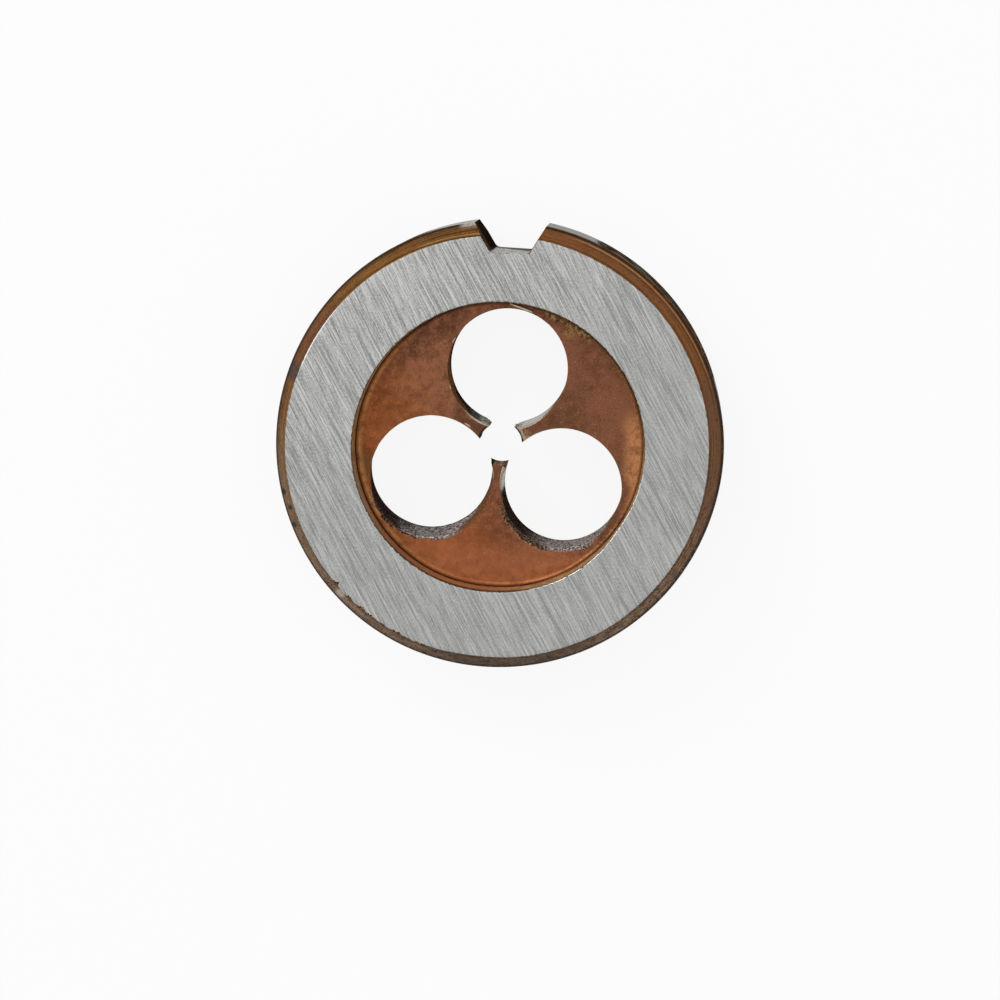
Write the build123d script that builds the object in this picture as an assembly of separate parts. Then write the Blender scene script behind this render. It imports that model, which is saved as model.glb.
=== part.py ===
from build123d import *
import os
from math import cos, radians, sin, tan

# A round threading die: a hardened steel disc that cuts an outside thread on a small rod.
# It lies on its back face. The origin is the centre of that face, +Z runs up the thread's axis,
# and the locating notch points along +Y. Every length is in millimetres and every angle in degrees.

# Disc
DISC_DIAMETER = 16.0
DISC_THICKNESS = 5.0

# Bevel between each face and the rim, 30 degrees off the rim
RIM_BEVEL_WIDTH = 0.48
RIM_BEVEL_HEIGHT = 0.83

# Recess in each face, which thins the disc down to the web that carries the thread
RECESS_DIAMETER = 10.4
WEB_THICKNESS = 2.5
RECESS_CORNER_RADIUS = 0.35
RECESS_WALL_LEAN = 4.0

# Thread bore, left at the crests of the thread, with a lead cone into each mouth
THREAD_MAJOR_DIAMETER = 2.0
THREAD_CREST_DIAMETER = 1.51
LEAD_CONE_LENGTH = 0.5

# Chip holes, which break into the bore and leave the cutting lands between them. The first one
# faces the notch, but was drilled a little off square to it.
CHIP_HOLE_COUNT = 3
CHIP_HOLE_DIAMETER = 4.3
CHIP_HOLE_CIRCLE_DIAMETER = 5.45
FIRST_CHIP_HOLE_ANGLE = 88.3

# Locating notch across the rim, with flanks that open outwards
NOTCH_DEPTH = 1.13
NOTCH_FLOOR_WIDTH = 1.35
NOTCH_ANGLE = 60.0
NOTCH_CORNER_RADIUS = 0.15

# Conical dimples in the rim, where the holder's set screws bite
DIMPLE_ANGLES = (30.0, 150.0)
DIMPLE_DIAMETER = 1.2
DIMPLE_DEPTH = 0.6

disc_radius = DISC_DIAMETER / 2
recess_radius = RECESS_DIAMETER / 2
web_bottom = (DISC_THICKNESS - WEB_THICKNESS) / 2
web_top = web_bottom + WEB_THICKNESS
mid_height = DISC_THICKNESS / 2


def half_section():
    """The turned section on one side of the axis: local X is the radius and local Y the height."""
    crest = THREAD_CREST_DIAMETER / 2
    mouth = THREAD_MAJOR_DIAMETER / 2
    recess_depth = DISC_THICKNESS - web_top
    wall_foot = recess_radius - recess_depth * tan(radians(RECESS_WALL_LEAN))
    upper_half = [
        (crest, web_top - LEAD_CONE_LENGTH),
        (mouth, web_top),
        (wall_foot, web_top),
        (recess_radius, DISC_THICKNESS),
        (disc_radius - RIM_BEVEL_WIDTH, DISC_THICKNESS),
        (disc_radius, DISC_THICKNESS - RIM_BEVEL_HEIGHT),
    ]
    lower_half = [(radius, DISC_THICKNESS - height) for radius, height in reversed(upper_half)]
    section = make_face(Polyline(*upper_half, *lower_half, close=True))
    recess_corners = [
        section.vertices().sort_by_distance((wall_foot, height))[0]
        for height in (web_bottom, web_top)
    ]
    return Plane.XZ * fillet(recess_corners, radius=RECESS_CORNER_RADIUS)


def turned_blank():
    """The disc as it leaves the lathe: rim, bevels, both recesses, bore and lead cones."""
    return revolve(half_section(), axis=Axis.Z)


def chip_holes():
    """The round holes through the web that clear the chips and form the lands."""
    tool = Cylinder(CHIP_HOLE_DIAMETER / 2, DISC_THICKNESS)
    places = PolarLocations(
        CHIP_HOLE_CIRCLE_DIAMETER / 2,
        CHIP_HOLE_COUNT,
        start_angle=FIRST_CHIP_HOLE_ANGLE,
    )
    return [Pos(0, 0, mid_height) * place * tool for place in places]


def locating_notch():
    """The slot across the rim: a flat floor between two leaning flanks, through both faces."""
    floor_y = disc_radius - NOTCH_DEPTH
    past_rim = NOTCH_DEPTH + 1.0
    half_floor = NOTCH_FLOOR_WIDTH / 2
    half_mouth = half_floor + past_rim * tan(radians(NOTCH_ANGLE / 2))
    outline = FilletPolyline(
        (-half_mouth, floor_y + past_rim),
        (-half_floor, floor_y),
        (half_floor, floor_y),
        (half_mouth, floor_y + past_rim),
        radius=NOTCH_CORNER_RADIUS,
    )
    mouth = Line(outline @ 1, outline @ 0)
    return extrude(make_face(outline + mouth), amount=DISC_THICKNESS)


def set_screw_dimples():
    """Cones sunk into the rim at mid-height, each widest where it meets the rim."""
    clearance = 0.2
    slope = DIMPLE_DIAMETER / 2 / DIMPLE_DEPTH
    cone = Cone(0, (DIMPLE_DEPTH + clearance) * slope, DIMPLE_DEPTH + clearance)
    cone_middle = disc_radius - DIMPLE_DEPTH + (DIMPLE_DEPTH + clearance) / 2
    dimples = []
    for angle in DIMPLE_ANGLES:
        outward = (cos(radians(angle)), sin(radians(angle)), 0)
        seat = Plane(origin=(0, 0, mid_height), z_dir=outward)
        dimples.append(seat * Pos(0, 0, cone_middle) * cone)
    return dimples


def die_body():
    """The finished disc, one solid."""
    body = turned_blank()
    body -= chip_holes()
    body -= locating_notch()
    body -= set_screw_dimples()
    return body


os.makedirs("parts", exist_ok=True)
die = die_body()
die.label = "die_body"
export_step(die, "parts/die_body.step")

land_neck = CHIP_HOLE_CIRCLE_DIAMETER * sin(radians(180 / CHIP_HOLE_COUNT)) - CHIP_HOLE_DIAMETER
box = die.bounding_box()
print(f"die_body: {len(die.solids())} solid, {die.volume:.2f} mm3")
print(f"size: {box.size.X:.2f} x {box.size.Y:.2f} x {box.size.Z:.2f} mm")
print(f"land neck: {land_neck:.3f} mm")
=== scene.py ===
# %% [markdown]
# # A round threading die
#
# A round threading die is a hardened steel disc that cuts an outside thread on a thin rod. A small
# threaded bore sits in its middle. Three chip holes break into that bore and leave three lands
# between them, and the ends of the lands are the cutting teeth. Both faces are turned down in the
# middle, so that only a thin web carries the teeth.
#
# The disc is made here the way a workshop makes it: it is turned, drilled, slotted, tapped and then
# ground. Each of these steps is one solid, and each solid leaves its own finish on what it cuts.

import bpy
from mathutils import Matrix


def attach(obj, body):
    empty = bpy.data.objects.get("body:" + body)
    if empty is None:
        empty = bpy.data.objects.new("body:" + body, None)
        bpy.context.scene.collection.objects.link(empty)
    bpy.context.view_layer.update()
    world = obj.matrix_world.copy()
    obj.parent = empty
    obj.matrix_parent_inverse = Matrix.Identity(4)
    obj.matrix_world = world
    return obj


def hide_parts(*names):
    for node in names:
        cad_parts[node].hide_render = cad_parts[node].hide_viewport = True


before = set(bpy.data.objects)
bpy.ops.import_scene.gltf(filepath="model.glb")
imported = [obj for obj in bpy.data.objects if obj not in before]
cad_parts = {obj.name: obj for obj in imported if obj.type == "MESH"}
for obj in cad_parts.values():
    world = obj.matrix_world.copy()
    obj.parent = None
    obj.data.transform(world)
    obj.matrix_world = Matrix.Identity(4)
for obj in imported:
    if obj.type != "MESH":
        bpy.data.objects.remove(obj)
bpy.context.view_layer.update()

# %% What the lesson uses
from math import cos, pi, radians, sin, sqrt, tan

import bmesh
import bpy
import numpy as np
from mathutils import Matrix, Vector

# %% [markdown]
# ## Building node trees
#
# Finishes and shapes below are both node trees. They could be drawn by hand in the node editor, but
# a script can be read, changed and run again. One small helper adds a node and feeds its inputs,
# either with a plain value or with the output of another node. Short helpers on top of it stand for
# the nodes that are needed again and again, so that a tree reads like a calculation. They find the
# tree by themselves: each socket that a node gives out knows the tree that it is in.

# %% Helpers that add and feed a node
def feed(tree, made, feeds):
    """Feed a node's inputs. Each feed is a plain value, or the output socket of another node."""
    for name, value in feeds.items():
        socket = made.inputs[name]
        if isinstance(value, bpy.types.NodeSocket):
            tree.links.new(value, socket)
        else:
            socket.default_value = value


def add_node(tree, kind, feeds=None, **settings):
    """Add one node with these settings, and feed its inputs."""
    made = tree.nodes.new(kind)
    for name, value in settings.items():
        setattr(made, name, value)
    feed(tree, made, feeds or {})
    return made


# %% Helpers for sums
def tree_of(terms):
    """The tree that some terms come from, which every output socket among them knows."""
    return next(term.id_data for term in terms if isinstance(term, bpy.types.NodeSocket))


def calculate(operation, *terms, clamp=False):
    """The answer of one Math node, which goes into the tree that its terms come from."""
    feeds = dict(enumerate(terms))
    settings = {"operation": operation, "use_clamp": clamp}
    return add_node(tree_of(terms), "ShaderNodeMath", feeds, **settings).outputs[0]


def calculate_vector(operation, *terms):
    """The answer of one Vector Math node, which is a number for lengths and dot products."""
    feeds = dict(enumerate(terms))
    made = add_node(tree_of(terms), "ShaderNodeVectorMath", feeds, operation=operation)
    plain = operation in ("LENGTH", "DOT_PRODUCT", "DISTANCE")
    return made.outputs["Value" if plain else "Vector"]


def scaled(vector, factor):
    """A vector times a number."""
    feeds = {"Vector": vector, "Scale": factor}
    made = add_node(vector.id_data, "ShaderNodeVectorMath", feeds, operation="SCALE")
    return made.outputs["Vector"]


def flattened(vector):
    """A vector without its upright part."""
    return calculate_vector("MULTIPLY", vector, (1, 1, 0))


def spun_by(vector, angle):
    """A vector turned about the upright axis."""
    feeds = {"Vector": vector, "Angle": angle}
    made = add_node(vector.id_data, "ShaderNodeVectorRotate", feeds, rotation_type="Z_AXIS")
    return made.outputs[0]


def lean(vector, direction):
    """How far a vector leans in one direction, which is their dot product."""
    return calculate_vector("DOT_PRODUCT", vector, direction)


def parts_of(vector):
    """A vector's X, Y and Z."""
    return add_node(vector.id_data, "ShaderNodeSeparateXYZ", {0: vector}).outputs


# %% [markdown]
# Most patterns below are shares: numbers from 0 to 1 that say how much of something lies at a point.
# Shares are made by soft steps, multiplied where two things must hold at once, and stirred with
# noise where an edge should be ragged.

# %% Helpers for shares
def blend(*parts):
    """The sum of some values, each with its weight: blend((value, weight), ...)."""
    total = 0.0
    for value, weight in parts:
        total = calculate("MULTIPLY_ADD", value, weight, total)
    return total


def step(value, low, high, to_low=0.0, to_high=1.0):
    """A soft step: to_low below low, to_high above high, and a smooth climb between them."""
    feeds = {"Value": value, "From Min": low, "From Max": high, "To Min": to_low, "To Max": to_high}
    made = add_node(value.id_data, "ShaderNodeMapRange", feeds, interpolation_type="SMOOTHSTEP")
    return made.outputs["Result"]


def both(*shares):
    """The product of some shares, which is 1 only where all of them are 1."""
    product = shares[0]
    for share in shares[1:]:
        product = calculate("MULTIPLY", product, share)
    return product


def outside(share):
    """1 where a share is 0, and 0 where it is 1."""
    return calculate("SUBTRACT", 1.0, share)


def stir(value, noise, amount):
    """A value pushed up and down by noise that lies around 0.5."""
    return calculate("MULTIPLY_ADD", calculate("SUBTRACT", noise, 0.5), amount, value)


# %% [markdown]
# ## The camera
#
# The disc lies flat on its back face and the camera looks down on it from a short way off, a little
# from the notch's side. A long lens keeps the circles nearly round. The camera's turn about its own
# axis is given as an angle, because looking straight down leaves no natural "up".

# %% The camera's place
CAMERA_PLACE = Vector((0.005561, 0.012489, 0.131539))
TOWARDS_CAMERA = Vector((0.04199, 0.11251, 0.99276)).normalized()
CAMERA_ROLL = radians(3.53)
CAMERA_LENS = 129.6

# %% The camera
level_right = Vector((0, 1, 0)).cross(TOWARDS_CAMERA).normalized()
camera_right = Matrix.Rotation(CAMERA_ROLL, 3, TOWARDS_CAMERA) @ level_right
camera_up = TOWARDS_CAMERA.cross(camera_right)
camera = bpy.data.objects.new("camera", bpy.data.cameras.new("camera"))
turn = Matrix((camera_right, camera_up, TOWARDS_CAMERA)).transposed().to_4x4()
camera.matrix_world = Matrix.Translation(CAMERA_PLACE) @ turn
camera.data.lens = CAMERA_LENS
camera.data.clip_start = 0.01
camera.data.clip_end = 10.0
bpy.context.collection.objects.link(camera)
bpy.context.scene.camera = camera
print("camera tilt from straight down:", round(np.degrees(np.arccos(TOWARDS_CAMERA.z)), 1), "deg")

# %% [markdown]
# ## The light
#
# Bare steel shows what stands around it. A large soft box overhead gives the ground faces their even
# grey, and a second one at the upper left picks out every edge that faces it. A plain grey world
# fills the rest. The lamps are small because the disc is small: their power is worked out from the
# brightness that their surface should have.

# %% The lamps
def soft_box(name, width, brightness, turned, height_angle, distance):
    """A square lamp that faces the disc. Its brightness is what a mirror would show of it."""
    lamp = bpy.data.lights.new(name, "AREA")
    lamp.size = width
    lamp.energy = brightness * pi * width**2
    made = bpy.data.objects.new(name, lamp)
    level = cos(radians(height_angle))
    upright = sin(radians(height_angle))
    away = Vector((cos(radians(turned)) * level, sin(radians(turned)) * level, upright))
    made.location = away * distance
    made.rotation_euler = away.to_track_quat("Z", "Y").to_euler()
    made.visible_camera = False
    bpy.context.collection.objects.link(made)
    print(f"{name}: {lamp.energy:.4f} W")


soft_box("overhead_box", width=0.50, brightness=0.74, turned=90, height_angle=86, distance=0.36)
soft_box("key_box", width=0.16, brightness=4.4, turned=132, height_angle=46, distance=0.34)

# %% The world
WORLD_GREY = (0.34, 0.34, 0.34, 1)
world = bpy.data.worlds.new("plain_grey")
world.use_nodes = True
world.node_tree.nodes["Background"].inputs["Color"].default_value = WORLD_GREY
bpy.context.scene.world = world
bpy.context.scene.view_settings.view_transform = "Standard"

# %% [markdown]
# ## The floor
#
# The floor is a white sheet. Most of its white is its own faint glow, which the camera and mirrors
# see but which lights nothing, so the sheet stays white while the disc still drops a soft shadow
# on it. Seen from underneath the sheet is clear, so the back of the disc can be looked at too.

# %% The floor's finish
FLOOR_GLOW = 0.90
paper = bpy.data.materials.new("white_paper")
paper.use_nodes = True
tree = paper.node_tree
tree.nodes.remove(tree.nodes["Principled BSDF"])
matt = add_node(tree, "ShaderNodeBsdfDiffuse", {"Color": (0.9, 0.9, 0.9, 1)})
glow = add_node(tree, "ShaderNodeEmission", {"Color": (1, 1, 1, 1), "Strength": 1.0})
clear = add_node(tree, "ShaderNodeBsdfTransparent")
ray = add_node(tree, "ShaderNodeLightPath")
seen = calculate("ADD", ray.outputs["Is Camera Ray"], ray.outputs["Is Glossy Ray"])
seen = calculate("ADD", seen, ray.outputs["Is Transmission Ray"], clamp=True)
glow_share = calculate("MULTIPLY", seen, FLOOR_GLOW)
feeds = {0: glow_share, 1: matt.outputs[0], 2: glow.outputs[0]}
sheet = add_node(tree, "ShaderNodeMixShader", feeds)
side = add_node(tree, "ShaderNodeNewGeometry")
feeds = {0: side.outputs["Backfacing"], 1: sheet.outputs[0], 2: clear.outputs[0]}
both_sides = add_node(tree, "ShaderNodeMixShader", feeds)
tree.links.new(both_sides.outputs[0], tree.nodes["Material Output"].inputs["Surface"])

# %% The floor
FLOOR_HALF = 1.5
FLOOR_DROP = 0.00002
floor_mesh = bpy.data.meshes.new("floor")
corners = [(-1, -1), (1, -1), (1, 1), (-1, 1)]
floor_points = [(x * FLOOR_HALF, y * FLOOR_HALF, -FLOOR_DROP) for x, y in corners]
floor_mesh.from_pydata(floor_points, [], [(0, 1, 2, 3)])
floor_mesh.materials.append(paper)
floor = bpy.data.objects.new("floor", floor_mesh)
bpy.context.collection.objects.link(floor)
print("floor width in m:", 2 * FLOOR_HALF)

# %% [markdown]
# ## Finishes
#
# The die wears its history. The recesses and bevels still have the brown temper scale of the
# furnace, the two faces and the rim were ground bright afterwards, and the chip holes have rough
# drilled walls. Every finish is worked out from the point's own place on the disc in millimetres,
# so a pattern is as large as it should be and goes on round corners.

# %% Sizes that shapes and finishes share, in millimetres
DISC_HEIGHT = 5.0
WEB_TOP = 3.75
RECESS_DRIFT = (0.035, -0.020, 0.0)
BORE_DRIFT = (0.035, -0.005, 0.0)
FRONT_STARTS = (2.4, 2.6)


# %% Colours
def linear_colour(screen_values):
    """A colour given in screen values from 0 to 255, as the linear values that a shader wants."""
    shares = np.array(screen_values) / 255
    linear = np.where(shares <= 0.04045, shares / 12.92, ((shares + 0.055) / 1.055) ** 2.4)
    return (*[float(value) for value in linear], 1.0)


def mix_colours(share, first, second):
    """The first colour where share is 0 and the second where it is 1.

    Each colour is the output socket of a node, or three screen values."""
    ends = [linear_colour(value) if isinstance(value, tuple) else value for value in (first, second)]
    feeds = {0: share, 6: ends[0], 7: ends[1]}
    made = add_node(share.id_data, "ShaderNodeMix", feeds, data_type="RGBA", clamp_factor=True)
    return made.outputs[2]


def two_tones(value, low, high, dark, light):
    """The dark colour where a value is below low, the light one above high, and a soft change between."""
    return mix_colours(step(value, low, high), dark, light)


def tint(base, share, strength, top):
    """Lay a colour over a base. Share says where, and strength how much of it at most."""
    return mix_colours(calculate("MULTIPLY", share, strength), base, top)


# %% [markdown]
# A pattern has to know where it is. The next helpers give a point's distance from the axis, its
# direction and its height, and shares for a sector, a ring, a spot or a stroke. They start from the
# object's own coordinates rather than from an unwrapped map, because no map of a drilled and turned
# body would keep a pattern at its true size.

# %% Places on the disc
def new_finish(name):
    """A material with one Principled shader, and the point's place on the disc in millimetres."""
    finish = bpy.data.materials.new(name)
    finish.use_nodes = True
    where = add_node(finish.node_tree, "ShaderNodeTexCoord").outputs["Object"]
    return finish, scaled(where, 1000.0)


def own_normal(place):
    """The direction in which the surface faces at a place, on the object itself."""
    return add_node(place.id_data, "ShaderNodeTexCoord").outputs["Normal"]


def round_axis(place):
    """The point's distance from the axis, and the direction in which it lies from the axis."""
    flat = flattened(place)
    radius = calculate_vector("LENGTH", flat)
    return radius, calculate_vector("NORMALIZE", flat)


def height_of(place):
    """The point's height over the back face."""
    return parts_of(place)["Z"]


# %% Sectors, rings, spots and strokes
def at_height(height, level, outer, inner):
    """1 within inner millimetres of one height, fading to 0 at outer millimetres from it."""
    gap = calculate("ABSOLUTE", calculate("SUBTRACT", height, level))
    return step(gap, outer, inner)


def facing(direction, angle, near, far):
    """1 where a direction is within near degrees of an angle, fading to 0 at far degrees."""
    aim = (cos(radians(angle)), sin(radians(angle)), 0)
    match = lean(direction, aim)
    return step(match, cos(radians(far)), cos(radians(near)))


def spot(place, x, y, size, soft):
    """1 inside a round spot at x, y, fading to 0 over soft millimetres outside it."""
    flat = flattened(place)
    return step(calculate_vector("DISTANCE", flat, (x, y, 0)), size + soft, size)


def stroke(place, start, end, half_width, soft):
    """1 along a straight stroke between two points of the plane, fading to 0 over soft millimetres."""
    run = Vector((end[0] - start[0], end[1] - start[1], 0))
    middle = (start[0] + run.x / 2, start[1] + run.y / 2, 0)
    along = run.normalized()
    apart = calculate_vector("SUBTRACT", place, middle)
    lengthways = calculate("ABSOLUTE", lean(apart, tuple(along)))
    sideways = lean(apart, (-along.y, along.x, 0))
    sideways = calculate("ABSOLUTE", sideways)
    inside = step(sideways, half_width + soft, half_width)
    return both(inside, step(lengthways, run.length / 2 + 4 * soft, run.length / 2))


# %% [markdown]
# Three kinds of noise do nearly all the work: clouds for scale and grit, straight lines for
# grinding, and rings for turning. The last two are the same clouds, with the point's place squeezed
# along one direction first.

# %% Noise
def speckle(place, size, detail=2.0, seed=0.0, rough=0.5):
    """Cloudy noise around 0.5. Size is the width of one cloud in millimetres.

    The seed only moves the point to another part of the same endless noise."""
    elsewhere = calculate_vector("ADD", place, (seed * 7.3, seed * 3.1, seed * 5.7))
    feeds = {"Vector": elsewhere, "Scale": 1 / size, "Detail": detail, "Roughness": rough}
    return add_node(place.id_data, "ShaderNodeTexNoise", feeds).outputs["Fac"]


def straight_lines(place, direction, length, width, seed=0.0, detail=1.0):
    """Noise drawn out along one direction of the plane, as a grinding wheel leaves it."""
    turned = spun_by(place, -radians(direction))
    drawn = calculate_vector("MULTIPLY", turned, (1 / length, 1 / width, 1 / width))
    return speckle(drawn, 1.0, detail, seed)


def turning_lines(place, width, seed=0.0, share_of_turn=0.35):
    """Noise drawn out round the axis, as a lathe tool leaves it."""
    radius, outward = round_axis(place)
    height = height_of(place)
    feeds = {"X": calculate("DIVIDE", radius, width), "Y": calculate("DIVIDE", height, width)}
    rings = add_node(place.id_data, "ShaderNodeCombineXYZ", feeds).outputs[0]
    slow = scaled(outward, 1 / share_of_turn)
    feeds = {"Z": parts_of(slow)["X"]}
    around = add_node(place.id_data, "ShaderNodeCombineXYZ", feeds).outputs[0]
    return speckle(calculate_vector("ADD", rings, around), 1.0, 1.0, seed)


# %% [markdown]
# The last helper feeds a finish's shader. A plain number is set on the shader itself, and a link is
# made only for what changes from point to point. Bare steel is close to 1 in metallic, because it
# shows what stands around it, and soot or thick scale is close to 0.

# %% Dressing a finish
def dress(finish, base, roughness, metallic, gloss=0.0, bump=None):
    """Give a finish's shader its colour, its shine and its bump, and print how large it has become.

    Bump is a height pattern, its depth in millimetres and its strength."""
    tree = finish.node_tree
    feeds = {"Base Color": base, "Roughness": roughness, "Metallic": metallic}
    feeds["Specular IOR Level"] = gloss
    if bump:
        pattern, depth, strength = bump
        bump_feeds = {"Height": pattern, "Distance": depth / 1000, "Strength": strength}
        feeds["Normal"] = add_node(tree, "ShaderNodeBump", bump_feeds).outputs[0]
    feed(tree, tree.nodes["Principled BSDF"], feeds)
    print(f"{finish.name}: {len(tree.nodes)} nodes")


# %% [markdown]
# ### Ground steel
#
# The faces were passed once under a grinding wheel, so fine straight lines cross the whole ring in
# one direction. A wave texture would draw lines that are all alike, so noise is drawn out along the
# lines instead. Long lines, short lines and lines a few degrees off are laid over each other, with
# a fine grain between them and a few single scratches on top. Towards the notch the lines are painted
# lighter and with more contrast, as painted light where the lamps fall on the ring.

# %% Ground faces
GRIND_DIRECTION = 121.5
ground_face, place = new_finish("ground_face")
wander = calculate("MULTIPLY_ADD", speckle(place, 6.0, 1.0, seed=4), 0.20, -0.10)
offset = add_node(place.id_data, "ShaderNodeCombineXYZ", {"X": wander}).outputs[0]
bent = calculate_vector("ADD", place, offset)
long = straight_lines(bent, GRIND_DIRECTION, length=3.6, width=0.050, seed=2)
short = straight_lines(bent, GRIND_DIRECTION - 1.5, length=0.9, width=0.048, seed=1)
stray = straight_lines(bent, GRIND_DIRECTION - 7.0, length=1.0, width=0.050, seed=3)
grain = speckle(place, 0.072, 2.0, seed=9)
cloud = speckle(place, 1.6, 2.0, seed=5)
lines = blend((long, 0.30), (short, 0.27), (stray, 0.13), (grain, 0.25), (cloud, 0.05))
# Painted light: on this side the lines are lighter and have more contrast, where the light falls.
painted_light_side = step(lean(place, (-0.60, 0.80, 0)), -2.5, 7.5)
strong = two_tones(lines, 0.38, 0.62, (136, 137, 135), (196, 197, 195))
mild = two_tones(lines, 0.38, 0.62, (142, 143, 141), (180, 181, 179))
steel = mix_colours(painted_light_side, mild, strong)

# %% Single scratches and a painted highlight on the edge
scratch = straight_lines(bent, GRIND_DIRECTION + 1.0, length=2.0, width=0.044, seed=6)
scratch = both(step(scratch, 0.62, 0.70), step(painted_light_side, 0, 1, 0.35, 0.62))
steel = mix_colours(scratch, steel, (220, 220, 218))
gouge = straight_lines(bent, GRIND_DIRECTION - 2.0, length=1.6, width=0.044, seed=7)
gouge = both(step(gouge, 0.62, 0.72), step(painted_light_side, 0, 1, 0.25, 0.50))
steel = mix_colours(gouge, steel, (104, 104, 102))
radius, outward = round_axis(place)
# A painted highlight on the ring's outer edge, on the side that faces the key light.
painted_edge_highlight = both(step(radius, 7.475, 7.50), facing(outward, 152, 6, 11))
steel = mix_colours(painted_edge_highlight, steel, (236, 236, 234))
roughness = step(lines, 0.4, 0.6, 0.44, 0.36)
dress(ground_face, steel, roughness, metallic=1.0, gloss=0.5, bump=(lines, 0.002, 0.3))

# %% [markdown]
# ### Ground rim
#
# The rim was ground round and round instead. Greyish and dark patches at some angles round it are
# painted reflection of dark surroundings. The dark ones are given no shine of their own, and only the
# bare parts are metal.

# %% Bare rim
ground_rim, place = new_finish("ground_rim")
_, outward = round_axis(place)
rings = turning_lines(place, 0.05, seed=1)
film = speckle(place, 0.7, 4.0, seed=2)
worn = two_tones(rings, 0.3, 0.7, (132, 130, 124), (196, 194, 188))
worn = tint(worn, step(film, 0.48, 0.62), 0.70, (104, 98, 86))
# Painted reflection: greyish tones at these angles stand in for the surroundings that the rim reflects.
PAINTED_REFLECTION_SIDES = [(12, 20, 34, 0.65, (78, 80, 66)), (72, 10, 17, 0.85, (88, 84, 76))]
for middle, near, far, strength, reflection_tone in PAINTED_REFLECTION_SIDES:
    worn = tint(worn, facing(outward, middle, near, far), strength, reflection_tone)

# %% Painted dark reflection on the rim
# Painted reflection: dark patches on these two sides stand in for dark surroundings seen in the rim, with
# lighter streaks in them.
upper_right = facing(outward, 44, 14, 30)
left_side = facing(outward, 168, 40, 66)
dark_reflection_side = calculate("ADD", upper_right, left_side, clamp=True)
dark_patches = step(blend((dark_reflection_side, 1.0), (film, 0.9)), 0.82, 1.02)
dark_reflection_tone = mix_colours(upper_right, (30, 25, 21), (46, 39, 31))
worn = mix_colours(dark_patches, worn, dark_reflection_tone)
light_streaks = both(dark_patches, step(blend((film, 0.6), (rings, 0.4)), 0.48, 0.62))
light_streak_tone = mix_colours(upper_right, (62, 52, 42), (140, 128, 112))
worn = mix_colours(light_streaks, worn, light_streak_tone)
beside_notch = both(facing(outward, 99, 4, 10), step(rings, 0.50, 0.38))
worn = tint(worn, beside_notch, 0.25, (96, 88, 82))
roughness = step(dark_patches, 0.0, 1.0, 0.42, 0.80)
metallic = step(dark_patches, 0.0, 1.0, 0.95, 0.0)
dress(ground_rim, worn, roughness, metallic, bump=(rings, 0.004, 0.4))

# %% [markdown]
# ### Temper scale
#
# Steel that is heated in air grows a thin brown skin. It is a metal surface under a coloured film,
# so it is mostly metallic: warm orange where the film is thin and clean, duller and darker where it
# is thick, with pale grains and small dark pits. Three noises of different sizes set the tone, and
# broad patches of colour are then laid where the film differs, while the orange and golden patches
# near the wall are painted reflection of the light. The recess was turned a little off centre, so its
# rings are measured from their own middle.

# %% Recess scale
recess_scale, place = new_finish("recess_scale")
true_radius, outward = round_axis(place)
drift = lean(outward, RECESS_DRIFT)
radius = calculate("SUBTRACT", true_radius, drift)
height = height_of(place)
patch = speckle(place, 2.2, 2.0, seed=1)
mottle = speckle(place, 0.36, 3.0, seed=2, rough=0.6)
grain = speckle(place, 0.075, 2.0, seed=3, rough=0.6)
tone = blend((patch, 0.36), (mottle, 0.32), (grain, 0.32))
scale = two_tones(tone, 0.39, 0.61, (102, 66, 47), (146, 94, 66))
# Painted reflection of the light: more orange towards the lower left, and a warm glow at the bottom, near
# the wall.
left_lean = lean(place, (-0.80, -0.60, 0))
orange = two_tones(tone, 0.34, 0.66, (128, 71, 36), (160, 93, 54))
scale = mix_colours(step(left_lean, 0.3, 3.4, 0.0, 0.95), scale, orange)
painted_glow_low = both(facing(outward, 272, 22, 46), step(radius, 3.2, 4.2))
scale = tint(scale, painted_glow_low, 0.55, (168, 102, 68))
plain_scale = scale

# %% Thick and dull scale
scale = tint(scale, step(true_radius, 2.6, 1.0), 0.50, (88, 58, 42))
thick = both(facing(outward, 30, 25, 60), step(mottle, 0.38, 0.58))
scale = tint(scale, thick, 0.40, (100, 68, 52))
dull_left = spot(place, -4.72, -1.05, 0.25, 0.40)
dull_left = both(dull_left, step(mottle, 0.40, 0.58, 0.4, 1.0))
scale = tint(scale, dull_left, 0.70, (96, 74, 52))

# %% [markdown]
# Round the foot of the wall a golden band and, on one side, a golden patch are painted as highlight,
# the light's reflection in the curve of the corner. A thin dark line of painted shade runs in the corner
# itself, and the wall above it is dull golden brown up to a dark edge of painted shade under the lip.
# Rings like these are picked out by radius on the web and by height on the wall.

# %% Painted golden highlight band
golden_side = facing(outward, 222, 74, 100)
low_side = facing(outward, 280, 22, 58)
gold_foot = step(low_side, 0.0, 1.0, 4.88, 4.45)
feeds = {"Value": radius, "From Min": gold_foot, "From Max": 4.97}
painted_gold_band = add_node(radius.id_data, "ShaderNodeMapRange", feeds).outputs["Result"]
painted_gold_band = both(painted_gold_band, golden_side, step(mottle, 0.36, 0.56, 0.30, 1.0))
painted_gold_tone = mix_colours(low_side, (174, 120, 72), (176, 108, 66))
scale = tint(scale, painted_gold_band, 0.85, painted_gold_tone)

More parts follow.
